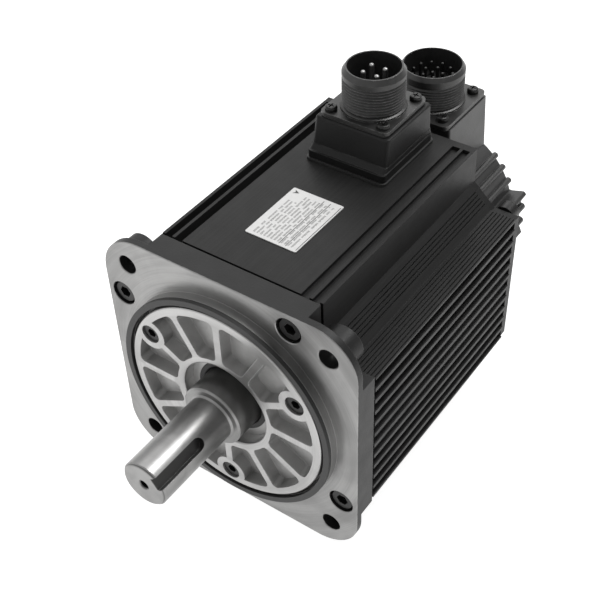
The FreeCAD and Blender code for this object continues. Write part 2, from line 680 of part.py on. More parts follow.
def make_shaft():
    """The stepped shaft with its open keyway and tapped end; its outline is drawn on the -X side."""
    blank = DOC.addObject("PartDesign::Body", "shaft_turning")
    edge, front_back = Dims.shaftChamfer, Dims.frontFace + Dims.frontWidth
    rear_back = Dims.rearFace + Dims.rearWidth + 2
    steps = [
        (0.0, Dims.shaftEnd), (Dims.shaftRadius - edge, Dims.shaftEnd),
        (Dims.shaftRadius, Dims.shaftEnd + edge), (Dims.shaftRadius, Dims.shaftStep - 0.8),
        (Dims.shaftRadius + 0.8, Dims.shaftStep), (Dims.journalRadius - 0.8, Dims.shaftStep),
        (Dims.journalRadius, Dims.shaftStep + 0.8), (Dims.journalRadius, front_back),
        (Dims.collarRadius, front_back), (Dims.collarRadius, Dims.collarBack),
        (Dims.coreShaftRadius, Dims.collarBack), (Dims.coreShaftRadius, Dims.coreShaftBack),
        (Dims.rearCollarRadius, Dims.coreShaftBack), (Dims.rearCollarRadius, Dims.rearFace),
        (Dims.rearJournalRadius, Dims.rearFace), (Dims.rearJournalRadius, rear_back),
        (Dims.encoderStub, rear_back), (Dims.encoderStub, Dims.shaftBack), (0.0, Dims.shaftBack)]
    revolve(blank, "shaft_blank", [(-radius, height) for radius, height in steps])
    tap = circles(sketch_on(blank, "shaft_tap", level=Dims.shaftEnd), [(0.0, 0.0)], Dims.tapRadius)
    pocket(blank, tap, Dims.tapDepth)
    dress_body(blank, "Chamfer", 0.6, ring_at(Dims.tapRadius, Dims.shaftEnd))
    half = Dims.keyWidth / 2
    slot_floor = Dims.shaftRadius - Dims.keyDepth
    round_y = Dims.keyEnd - half
    slot = block("keyway_slot", (slot_floor, Dims.shaftEnd - 1, -half), (Dims.journalRadius, round_y, half))
    end = cylinder("keyway_end", half, (slot_floor, round_y, 0), Dims.keyDepth + 3, X_DIR)
    tools = [swung(slot, Dims.keyAngle), swung(end, Dims.keyAngle)]
    node(cut("shaft", blank, tools), "shaft")


def make_rotor():
    """Laminated rotor core and its ring of magnets."""
    sleeve("rotor_core", Dims.coreShaftRadius, Dims.rotorCore, Dims.coreFront, Dims.coreBack)
    length = Dims.coreBack - Dims.coreFront
    magnets = []
    for index in range(MAGNET_COUNT):
        name = "magnet_%d" % index
        rod = cylinder(name + "_rod", Dims.magnetOuter, (0, Dims.coreFront, 0), length)
        rod.Angle = 360 / MAGNET_COUNT - 5
        eye = cylinder(name + "_eye", Dims.rotorCore + HAIR, (0, Dims.coreFront - 1, 0), length + 2)
        arc = cut(name, rod, [eye])
        arc.Placement = FreeCAD.Placement(
            FreeCAD.Vector(), FreeCAD.Rotation(Y_DIR, index * 360 / MAGNET_COUNT))
        magnets.append(arc)
    group("rotor_magnets", magnets)


# ---------------------------------------------------------------- frame and stator

def frame_outline(side, edge=0.0):
    """The frame's section: flat top, straight step, sloping shoulder and ledge, on all corners."""
    top = Dims.flangeWidth / 2
    quarter = [(side, Dims.ledge - edge), (Dims.shoulderSide, Dims.ledge - edge),
               (Dims.topHalf, Dims.shoulderTop), (Dims.topHalf, top)]
    mirrored = [(-x, y) for x, y in reversed(quarter)]
    upper = quarter + mirrored
    return upper + [(x, -y) for x, y in reversed(upper)]


def fine_groove_places():
    """Centres and face directions of the fine grooves on one ledge and one sloping shoulder."""
    places = []
    ledge_start = Dims.shoulderSide.value + 1.6
    for index in range(7):
        places.append(((ledge_start + index * Dims.finePitch.value, Dims.ledge.value), (1.0, 0.0)))
    foot = (Dims.shoulderSide.value, Dims.ledge.value)
    head = (Dims.topHalf.value, Dims.shoulderTop.value)
    span = math.hypot(head[0] - foot[0], head[1] - foot[1])
    way = ((head[0] - foot[0]) / span, (head[1] - foot[1]) / span)
    for index in range(5):
        reach = span / 2 + (index - 2) * Dims.finePitch.value
        places.append(((foot[0] + way[0] * reach, foot[1] + way[1] * reach), (-way[0], -way[1])))
    return places


def fine_groove(centre, way):
    """A shallow V across a face; way runs along the face with the metal on its right-hand side."""
    half, depth = Dims.fineGroove.value, Dims.fineGroove.value * 1.3
    inward = (way[1], -way[0])
    lift = 0.3
    left = (centre[0] - way[0] * half - inward[0] * lift, centre[1] - way[1] * half - inward[1] * lift)
    right = (centre[0] + way[0] * half - inward[0] * lift, centre[1] + way[1] * half - inward[1] * lift)
    root = (centre[0] + inward[0] * depth, centre[1] + inward[1] * depth)
    return [left, right, root]


def make_motor_frame():
    """The finned aluminium extrusion that carries the stator."""
    part = body("motor_frame")
    front = Dims.bracketDepth + Dims.jointGap
    length = Dims.frameBack - front
    side = Dims.flangeWidth / 2
    pad(part, outline(sketch_on(part, "frame_section", level=front), frame_outline(side)), length)
    bore = circles(sketch_on(part, "frame_bore", level=front), [(0.0, 0.0)], Dims.frameBore)
    pocket(part, bore, length)
    grooves = sketch_on(part, "fin_grooves", level=front)
    mouth = side + 1
    for step in range(-5, 6):
        root = side - getattr(Dims, FIN_DEPTHS[abs(step)])
        low, high = Dims.finPitch * step - Dims.finGroove / 2, Dims.finPitch * step + Dims.finGroove / 2
        for hand in (1, -1):
            outline(grooves, [(root * hand, low + 0.2), (mouth * hand, low), (mouth * hand, high),
                              (root * hand, high - 0.2)])
    pocket(part, grooves, length)
    channels = sketch_on(part, "channels", level=front)
    spans = ((Dims.channelInner, Dims.channelRib), (Dims.channelRibOuter, Dims.channelOuter))
    for near, far in spans:
        for hand, floor in ((1, side - Dims.channelShallow), (-1, side - Dims.channelDeep)):
            for level in (1, -1):
                outline(channels, [(near * hand, floor * level), (far * hand, floor * level),
                                   (far * hand, mouth * level), (near * hand, mouth * level)])
    pocket(part, channels, length)
    fine = sketch_on(part, "fine_grooves", level=front)
    for centre, way in fine_groove_places():
        triangle = fine_groove(centre, way)
        for hand in (1, -1):
            for level in (1, -1):
                outline(fine, [(x * hand, z * level) for x, z in triangle])
    pocket(part, fine, length)
    front_taps = circles(sketch_on(part, "front_taps", level=front), bracket_screw_places(), Dims.frameTap)
    pocket(part, front_taps, 16.0)
    rear_taps = circles(sketch_on(part, "rear_taps", level=Dims.frameBack), rear_screw_places(),
                        Dims.frameTap)
    pocket(part, rear_taps, 14.0, positive=False)
    lead_hole = circles(sketch_on(part, "lead_hole", "XY_Plane", Dims.frameBore - 5),
                        [(0.0, Dims.powerY)], Dims.cableHole)
    pocket(part, lead_hole, 20.0)
    box_taps = circles(sketch_on(part, "box_taps", "XY_Plane", side - Dims.boxTapDepth), box_screw_places(),
                       Dims.boxTap)
    pocket(part, box_taps, Dims.boxTapDepth + 1)


def make_stator():
    """Stator laminations, slot windings and the two winding heads."""
    part = body("stator_core")
    length = Dims.coreBack - Dims.coreFront
    revolve(part, "stator_ring", [
        (Dims.statorBore, Dims.coreFront), (Dims.frameBore - HAIR, Dims.coreFront),
        (Dims.frameBore - HAIR, Dims.coreBack), (Dims.statorBore, Dims.coreBack)])
    half, neck = Dims.slotHalf, 1.2
    throat = Dims.statorBore + 2
    slot = outline(sketch_on(part, "stator_slot", level=Dims.coreFront), [
        (Dims.statorBore - 3, -neck), (throat, -neck), (throat, -half), (Dims.slotBottom, -half),
        (Dims.slotBottom, half), (throat, half), (throat, neck), (Dims.statorBore - 3, neck)])
    polar(part, pocket(part, slot, length), SLOT_COUNT)
    bars = []
    for index in range(SLOT_COUNT):
        bar = block("slot_winding_%d" % index, (throat + 0.4, Dims.coreFront, -half + 0.3),
                    (Dims.slotBottom - 0.3, Dims.coreBack, half - 0.3))
        bars.append(swung(bar, index * 360 / SLOT_COUNT))
    group("slot_windings", bars)
    bevel = 3.0
    for side, near, far in (("front", Dims.windingFront, Dims.coreFront),
                            ("rear", Dims.coreBack, Dims.windingBack)):
        tip, root = (near, far) if side == "front" else (far, near)
        slope = bevel if side == "front" else -bevel
        head = body(side + "_winding_head")
        revolve(head, side + "_head", [
            (Dims.windingInner, root), (Dims.windingInner, tip + slope), (Dims.windingInner + bevel, tip),
            (Dims.windingOuter - bevel, tip), (Dims.windingOuter, tip + slope), (Dims.windingOuter, root)])


# ---------------------------------------------------------------- rear end

def make_rear_bracket():
    """The rear bearing plate with its inward hub."""
    part = body("rear_bracket")
    side = Dims.flangeWidth / 2 - 0.5
    depth = Dims.rearPlateBack - Dims.frameBack
    pad(part, outline(sketch_on(part, "rear_plate", level=Dims.frameBack), frame_outline(side, 1.0)), depth)
    seat = circles(sketch_on(part, "rear_seat", level=Dims.frameBack), [(0.0, 0.0)], Dims.rearOuter)
    pocket(part, seat, Dims.hubFloor - Dims.frameBack)
    eye = circles(sketch_on(part, "rear_eye", level=Dims.frameBack), [(0.0, 0.0)],
                  Dims.rearJournalRadius + 3)
    pocket(part, eye, depth)
    hub_front, inside = Dims.rearFace - 1, Dims.frameBack + 1
    revolve(part, "rear_hub", [(Dims.rearOuter, hub_front), (Dims.rearOuter + 5, hub_front),
                               (Dims.rearOuter + 5, inside), (Dims.rearOuter, inside)])
    spigot = Dims.frameBore - SLIP
    revolve(part, "rear_spigot", [(Dims.spigotInner, Dims.frameBack - 4), (spigot, Dims.frameBack - 4),
                                  (spigot, inside), (Dims.spigotInner, inside)])
    holes = circles(sketch_on(part, "rear_holes", level=Dims.frameBack), rear_screw_places(), Dims.screwHole)
    pocket(part, holes, depth)
    taps = circles(sketch_on(part, "cover_taps_rear", level=Dims.frameBack), foot_places(), Dims.footTap)
    pocket(part, taps, depth)
    back = Dims.rearPlateBack.value

    def rim(edge):
        point = middle(edge)
        return abs(point.y - back) < 0.01 and isinstance(edge.Curve, Part.Line)
    dress_body(part, "Chamfer", Dims.rearEdge, rim)
    screws = [socket_screw("rear_screw_%d" % index, (x, Dims.rearPlateBack, z), Y_DIR.negative(),
                           *BRACKET_SCREW)
              for index, (x, z) in enumerate(rear_screw_places())]
    group("rear_bracket_screws", screws)


def foot_places():
    return [(Dims.footX * hand, Dims.footZ * level) for hand in (1, -1) for level in (1, -1)]


def cover_flanks():
    """Both flanks of the encoder cover in one section, with flat-topped lips above and below."""
    part = DOC.addObject("PartDesign::Body", "cover_flanks")
    quarter = [(Dims.sideReach, Dims.lipFoot), (Dims.lipTip, Dims.lipHigh - 1.3),
               (Dims.lipTip - 1.5, Dims.lipHigh), (Dims.drumRadius - 0.8, Dims.lipHigh - 1.9)]
    upper = quarter + [(-x, z) for x, z in reversed(quarter)]
    section = upper + [(x, -z) for x, z in reversed(upper)]
    pad(part, outline(sketch_on(part, "flank_section", level=Dims.rearPlateBack), section),
        Dims.beadBack - Dims.rearPlateBack)
    beyond = Dims.sideReach.value + 0.3
    dress_body(part, "Fillet", 0.6, lambda edge: runs_along(edge, Y_DIR) and abs(middle(edge).x) > beyond)
    return part


def cover_beads():
    """Half-round ribs along the drum and along both flanks."""
    front, length = Dims.rearPlateBack, Dims.beadBack - Dims.rearPlateBack
    turns = [turn for angle in BEADS_ALL_ROUND for turn in (angle, 180 - angle, -angle, angle - 180)]
    turns += [turn for angle in BEADS_BELOW for turn in (-angle, angle - 180)]
    beads = []
    for index, turn in enumerate(turns):
        x, z = turn_point(Dims.beadCircle, turn)
        beads.append(cylinder("drum_bead_%d" % index, Dims.beadRadius, (x, front, z), length))
    for index, (hand, level) in enumerate(((1, 1), (1, -1), (-1, 1), (-1, -1))):
        beads.append(cylinder("side_bead_%d" % index, Dims.sideBeadRadius,
                              (Dims.sideBeadX * hand, front, Dims.sideBeadZ * level), length))
    return beads


def cover_feet():
    """Four screwed feet at the cover's front edge, each on a short arm."""
    front, back = Dims.rearPlateBack, Dims.footBack
    pieces = []
    for index, (x, z) in enumerate(foot_places()):
        reach = math.hypot(number(x), number(z))
        turn = math.degrees(math.atan2(number(z), number(x)))
        arm = block("cover_arm_%d" % index, (Dims.drumRadius - 4, front, -Dims.footRadius),
                    (reach, back, Dims.footRadius))
        pieces += [cylinder("cover_foot_%d" % index, Dims.footRadius, (x, front, z), back - front),
                   swung(arm, turn)]
    return pieces


def make_rear_cover():
    """The ribbed encoder cover with the connector box cast on top."""
    front, back = Dims.rearPlateBack, Dims.drumBack
    drum = cylinder("cover_drum", Dims.drumRadius, (0, front, 0), back - front)
    drum = dressed("cover_drum_round", "Part::Fillet", drum, Dims.drumEdge, ring_at(Dims.drumRadius, back))
    box = tapered_box(
        "cover_box",
        (-Dims.encoderBoxFoot, Dims.encoderBoxFoot, Dims.encoderBoxFront, Dims.encoderBoxBack),
        (-Dims.encoderBoxHalf, Dims.encoderBoxHalf, Dims.encoderBoxFront, Dims.encoderBoxBack),
        Dims.encoderBoxLow, Dims.encoderBoxTop)
    box = dressed("cover_box_round", "Part::Fillet", box, Dims.encoderBoxCorner,
                  lambda edge: abs(edge.Vertexes[0].Z - edge.Vertexes[1].Z) > 20)
    solid = fuse("cover_solid", [drum, cover_flanks(), box] + cover_feet() + cover_beads())
    wall = Dims.drumWall
    hollow = cylinder("cover_hollow", Dims.drumRadius - wall, (0, front - 1, 0), back - front + 1 - wall)
    throat = cylinder("cover_throat", Dims.encoderThroat, (0, Dims.encoderY, 20), Dims.encoderBoxTop - 19,
                      Z_DIR)
    tools = [hollow, throat]
    for index, (x, z) in enumerate(foot_places()):
        tools.append(cylinder("foot_hole_%d" % index, Dims.smallHole, (x, front - 1, z),
                              Dims.footBack - front + 2))
    for index, (x, y) in enumerate(square_points(Dims.encoderPitch, 0.0, Dims.encoderY)):
        tools.append(cylinder("encoder_tap_%d" % index, Dims.flangeTap, (x, y, Dims.encoderBoxTop - 8), 10,
                              Z_DIR))
    node(cut("rear_cover", solid, tools), "rear_cover")
    screws = [socket_screw("rear_cover_screw_%d" % index, (x, Dims.footBack, z), Y_DIR.negative(),
                           *REAR_COVER_SCREW)
              for index, (x, z) in enumerate(foot_places())]
    group("rear_cover_screws", screws)


def make_encoder():
    """Hub and glass disc on the shaft; reader, posts and circuit board in the cover."""
    stub, board = Dims.encoderStub, Dims.boardFace
    hub = body("encoder_hub")
    revolve(hub, "encoder_hub_profile", [
        (stub, Dims.encoderHubFront), (Dims.encoderHubRadius, Dims.encoderHubFront),
        (Dims.encoderHubRadius, Dims.encoderHubFlange), (Dims.discSeat, Dims.encoderHubFlange),
        (Dims.discSeat, Dims.discFace), (stub, Dims.discFace)])
    sleeve("encoder_disc", stub, Dims.discRadius, Dims.discFace, Dims.discFace + Dims.discThick)
    sleeve("encoder_board", Dims.boardEye, Dims.boardRadius, board, board + Dims.boardThick)
    reader = block("encoder_reader_arm", (-Dims.readerHalf, Dims.shaftBack, Dims.readerLow),
                   (Dims.readerHalf, board, Dims.readerHigh))
    node(dressed("encoder_reader", "Part::Fillet", reader, 1.0, lambda edge: runs_along(edge, Y_DIR)),
         "encoder_reader")
    posts = []
    for index, angle in enumerate((135, 225, 315)):
        x, z = turn_point(Dims.postCircle, angle)
        posts.append(cylinder("encoder_post_%d" % index, Dims.postRadius, (x, Dims.rearPlateBack, z),
                              board - Dims.rearPlateBack))
    group("encoder_posts", posts)
    lead_low = Dims.boardRadius + 0.2
    leads = [cylinder("encoder_lead_%d" % index, Dims.encoderLead,
                      (Dims.encoderLeadStep * side, board + Dims.boardThick / 2, lead_low),
                      Dims.encoderBoxTop - 3.2 - lead_low, Z_DIR)
             for index, side in enumerate((-1, 0, 1))]
    group("encoder_leads", leads)


# ---------------------------------------------------------------- connectors

def square_plate(label, half, centre_y, low, high, corner, bore, screw_pitch, screw_radius):
    """A rounded square plate with a round middle hole and four screw holes, lying flat."""
    part = body(label)
    plan = outline(sketch_on(part, label + "_plan", "XY_Plane", low), square_points(half, 0.0, centre_y))
    pad(part, plan, high - low)
    dress_body(part, "Fillet", corner, lambda edge: runs_along(edge, Z_DIR))
    eye = circles(sketch_on(part, label + "_eye", "XY_Plane", low), [(0.0, centre_y)], bore)
    pocket(part, eye, high - low)
    holes = circles(sketch_on(part, label + "_holes", "XY_Plane", low),
                    square_points(screw_pitch, 0.0, centre_y), screw_radius)
    pocket(part, holes, high - low)
    return part


def thread_profile(inner, outer, foot, collar, rim, lip):
    """Half section of a connector barrel: root ring, thread ridges, smooth collar, tapered rim."""
    depth = 0.75
    points = [(inner, foot), (outer + 0.7, foot), (outer + 0.7, foot + 0.8), (outer - depth, foot + 1.5)]
    count = int((number(collar) - number(foot) - 2.0) / THREAD_PITCH)
    start = foot + 1.6
    for index in range(count):
        base = start + index * THREAD_PITCH
        points += [(outer - depth, base + 0.15), (outer, base + THREAD_PITCH * 0.5),
                   (outer - depth, base + THREAD_PITCH * 0.97)]
    points += [(outer - depth, collar - 0.4), (outer, collar), (outer, rim - lip * 1.5), (outer - lip, rim),
               (inner, rim)]
    return points


def make_receptacle(side, centre_y, seat, half, pitch, barrel, bore, throat, rim, lip, screw):
    """Flanged and threaded metal shell of a round connector, with its gasket and screws."""
    gasket_top, flange_top = seat + 0.7, seat + 2.5
    screw_hole = 1.7
    square_plate(side + "_receptacle_gasket", half - 0.3, centre_y, seat, gasket_top, 2.6, throat,
                 pitch, screw_hole)
    part = square_plate(side + "_receptacle", half, centre_y, gasket_top, flange_top, 3.0, bore, pitch,
                        screw_hole)
    collar = rim - 4.4
    revolve(part, side + "_barrel", thread_profile(bore, barrel, flange_top, collar, rim, lip),
            "XZ_Plane", centre_y)
    screws = [pan_screw("%s_screw_%d" % (side, index), (x, y, flange_top), *screw)
              for index, (x, y) in enumerate(square_points(pitch, 0.0, centre_y))]
    group(side + "_receptacle_screws", screws)


def make_insert(side, centre_y, bore, low, high, pins, pin_radius, tip):
    """The insulating insert and its contact pins."""
    rod = cylinder(side + "_insert_rod", bore - SLIP, (0, centre_y, low), high - low, Z_DIR)
    holes = [cylinder("%s_pin_hole_%d" % (side, index), pin_radius + HAIR, (x, y, low - 1),
                      high - low + 2, Z_DIR) for index, (x, y) in enumerate(pins)]
    node(cut(side + "_insert", rod, holes), side + "_insert")
    contacts = []
    for index, (x, y) in enumerate(pins):
        stem = cylinder("%s_pin_%d" % (side, index), pin_radius, (x, y, low), tip - low, Z_DIR)
        contacts.append(dressed("%s_pin_tip_%d" % (side, index), "Part::Fillet", stem, pin_radius * 0.85,
                                ring_at(pin_radius, tip, "z")))
    group(side + "_pins", contacts)


def power_pin_places():
    reach = Dims.powerPinCircle
    return [(reach * math.cos(math.radians(angle)), Dims.powerY + reach * math.sin(math.radians(angle)))
            for angle in (45, 135, 225, 315)]


def encoder_pin_places():
    places = [(0.0, Dims.encoderY)]
    for radius, count in ((4.9, 5), (9.6, 11)):
        for index in range(count):
            angle = math.radians(90 + index * 360 / count)
            places.append((radius * math.cos(angle), Dims.encoderY + radius * math.sin(angle)))
    return places


def top_rim(height):
    """Test for the edges that lie flat at this height."""
    return lambda edge: all(abs(vertex.Z - height.value) < 0.01 for vertex in edge.Vertexes)


def make_power_box():
    """Cast terminal box on the frame, its gasket and the four screws inside it."""
    top_face = Dims.flangeWidth / 2
    front, back, half = Dims.powerBoxFront, Dims.powerBoxBack, Dims.powerBoxHalf
    seal = block("box_gasket_blank", (-half - 0.8, front - 0.8, top_face),
                 (half + 0.8, back + 0.8, Dims.powerGasketTop))
    seal = dressed("box_gasket_round", "Part::Fillet", seal, 2.5, rises)
    base = block("box_base", (-half, front, Dims.powerGasketTop), (half, back, Dims.powerLedge))
    base = dressed("box_base_round", "Part::Fillet", base, 1.8, rises)
    inset = 0.3
    ledge = tapered_box("box_ledge", (-half + inset, half - inset, front + inset, back - inset),
                        (-half + 0.5, half - 0.5, Dims.powerFaceFoot - 0.2, back - inset),
                        Dims.powerLedge - 1, Dims.powerLedgeTop)
    ledge = dressed("box_ledge_round", "Part::Fillet", ledge, 1.6, rises)
    body_block = tapered_box("box_body", (-half + 0.6, half - 0.6, Dims.powerFaceFoot, back - inset),
                             (-half + 0.9, half - 0.9, Dims.powerFaceTop, back - 0.6),
                             Dims.powerLedgeTop - 1, Dims.powerBoxTop)
    body_block = dressed("box_body_round", "Part::Fillet", body_block, 1.8, rises)
    body_block = dressed("box_body_top", "Part::Fillet", body_block, 1.2, top_rim(Dims.powerBoxTop))
    solid = fuse("box_solid", [base, ledge, body_block])
    inner = Dims.powerChamber
    chamber = block("box_chamber", (-inner, Dims.powerY - inner, Dims.boxFloor),
                    (inner, Dims.powerY + inner, Dims.powerBoxTop - 7))
    throat = cylinder("box_throat", Dims.powerThroat, (0, Dims.powerY, Dims.boxFloor + 1.5), 20, Z_DIR)
    eye = cylinder("box_eye", Dims.cableHole, (0, Dims.powerY, top_face - 1), 8, Z_DIR)
    gasket_eye = cylinder("gasket_eye", Dims.cableHole, (0, Dims.powerY, top_face - 1), 4, Z_DIR)
    tools = [chamber, throat, eye]
    for index, (x, y) in enumerate(square_points(Dims.powerPitch, 0.0, Dims.powerY)):
        tools.append(cylinder("flange_tap_%d" % index, Dims.flangeTap, (x, y, Dims.powerBoxTop - 6.9), 8,
                              Z_DIR))
    seal_tools = [gasket_eye]
    for index, (x, y) in enumerate(box_screw_places()):
        tools.append(cylinder("box_hole_%d" % index, Dims.smallHole, (x, y, top_face), 5, Z_DIR))
        seal_tools.append(cylinder("gasket_hole_%d" % index, Dims.smallHole, (x, y, top_face - 1), 4, Z_DIR))
    node(cut("power_box", solid, tools), "power_box")
    node(cut("power_box_gasket", seal, seal_tools), "power_box_gasket")
    screws = [pan_screw("box_screw_%d" % index, (x, y, Dims.boxFloor), *BOX_SCREW)
              for index, (x, y) in enumerate(box_screw_places())]
    group("power_box_screws", screws)


def make_connectors():
    make_power_box()
    make_receptacle("power", Dims.powerY, Dims.powerBoxTop, Dims.powerFlange, Dims.powerPitch,
                    Dims.powerBarrel, Dims.powerBore, Dims.powerThroat, Dims.powerRim, 1.6,
                    POWER_FLANGE_SCREW)
    insert_low = Dims.powerBoxTop - 1.2
    make_insert("power", Dims.powerY, Dims.powerBore, insert_low, Dims.powerRim - 13.5,
                power_pin_places(), Dims.powerPin, Dims.powerRim - 1.9)
    lead_low = Dims.windingOuter + 0.2
    leads = [cylinder("power_lead_%d" % index, Dims.powerLead, (x, y, lead_low), insert_low - lead_low, Z_DIR)
             for index, (x, y) in enumerate(power_pin_places())]
    group("power_leads", leads)
    make_receptacle("encoder", Dims.encoderY, Dims.encoderBoxTop, Dims.encoderFlange, Dims.encoderPitch,
                    Dims.encoderBarrel, Dims.encoderBore, Dims.encoderThroat, Dims.encoderRim, 1.4,
                    ENCODER_FLANGE_SCREW)
    make_insert("encoder", Dims.encoderY, Dims.encoderBore, Dims.encoderBoxTop - 3.2,
                Dims.encoderRim - 12.0, encoder_pin_places(), Dims.encoderPin, Dims.encoderRim - 4.6)


def make_nameplate():
    top = Dims.flangeWidth / 2
    wide, deep = Dims.plateWide / 2, Dims.plateLong / 2
    sheet = block("nameplate_blank", (Dims.plateX - wide, Dims.plateY - deep, top),
                  (Dims.plateX + wide, Dims.plateY + deep, top + Dims.plateThick))
    node(dressed("nameplate", "Part::Fillet", sheet, Dims.plateCorner,
                 lambda edge: runs_along(edge, Z_DIR)),
         "nameplate")


# ---------------------------------------------------------------- build, check, write

def check_and_write():
    DOC.recompute()
    for item in DOC.Objects:
        bad = [state for state in item.State if state in ("Invalid", "Error")]
        if bad:
            raise ValueError("%s is %s" % (item.Name, bad))
    labels = [item.Label for item in NODES]
    if len(set(labels)) != len(labels):
        raise ValueError("two sub-parts share a label")
    for item in NODES:
        if item.Shape.isNull() or not item.Shape.isValid() or not item.Shape.Solids:
            raise ValueError("%s has no sound solid" % item.Label)
    os.makedirs("parts", exist_ok=True)
    for item in NODES:
        item.Shape.exportStep("parts/%s.step" % item.Label)
        print("%-28s solids %2d  volume %10.1f" % (item.Label, len(item.Shape.Solids), item.Shape.Volume))


def main():
    make_sheet()
    make_front_flange()
    make_pilot_ring()
    make_front_cover()
    make_front_screws()
    make_oil_seal()
    make_bearings()
    make_shaft()
    make_rotor()
    make_motor_frame()
    make_stator()
    make_rear_bracket()
    make_rear_cover()
    make_encoder()
    make_connectors()
    make_nameplate()
    check_and_write()


main()
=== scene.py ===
import json
import math
import random

import bmesh
import bpy
from mathutils import Matrix, Vector


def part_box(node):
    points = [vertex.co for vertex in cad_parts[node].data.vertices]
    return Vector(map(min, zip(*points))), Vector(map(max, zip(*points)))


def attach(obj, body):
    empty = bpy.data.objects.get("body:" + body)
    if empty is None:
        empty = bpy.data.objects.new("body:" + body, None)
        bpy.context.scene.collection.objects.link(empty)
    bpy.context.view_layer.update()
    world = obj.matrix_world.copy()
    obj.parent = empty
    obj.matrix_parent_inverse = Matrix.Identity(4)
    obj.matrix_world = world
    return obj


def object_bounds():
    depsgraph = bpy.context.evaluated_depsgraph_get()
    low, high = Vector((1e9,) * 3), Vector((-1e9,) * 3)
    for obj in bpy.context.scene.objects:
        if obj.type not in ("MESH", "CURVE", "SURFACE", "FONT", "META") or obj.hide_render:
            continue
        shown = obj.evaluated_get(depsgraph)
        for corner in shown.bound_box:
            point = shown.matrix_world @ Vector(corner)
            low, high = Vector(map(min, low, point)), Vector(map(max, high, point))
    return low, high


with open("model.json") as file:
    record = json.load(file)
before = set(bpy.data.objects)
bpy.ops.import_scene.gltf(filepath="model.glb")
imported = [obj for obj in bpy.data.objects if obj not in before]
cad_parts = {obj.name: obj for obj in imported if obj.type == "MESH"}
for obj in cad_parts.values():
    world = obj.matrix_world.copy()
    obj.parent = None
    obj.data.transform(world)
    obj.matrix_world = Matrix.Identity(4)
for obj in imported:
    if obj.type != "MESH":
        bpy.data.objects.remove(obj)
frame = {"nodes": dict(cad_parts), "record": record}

# Studio scene of the servo motor. Metres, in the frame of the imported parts: the shaft points
# along -Y, +Z is up, and the origin is the centre of the flange's mounting face.

MM = 0.001
CAD_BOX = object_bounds()
NODES = frame["nodes"]
MOUNTS = {mount["name"]: mount for mount in frame["record"]["mounts"]}
PILOT_RADIUS = MOUNTS["pilot"]["dims"]["r_mm"] * MM
SHAFT_RADIUS = MOUNTS["shaft_end"]["dims"]["r_mm"] * MM

# Radius over which the sharp edges of small pieces are eased in shading.
SMALL_EDGE = 0.2 * MM
# Length that one radian about the shaft axis stands for in a polar pattern.
RADIAN_LENGTH = 30 * MM
# Likeness of the eased and the true normal: sharp edges lie below the first, flats above the second.
SHARP_LIKENESS = 0.80
FLAT_LIKENESS = 0.99


# ---------------------------------------------------------------- node graphs

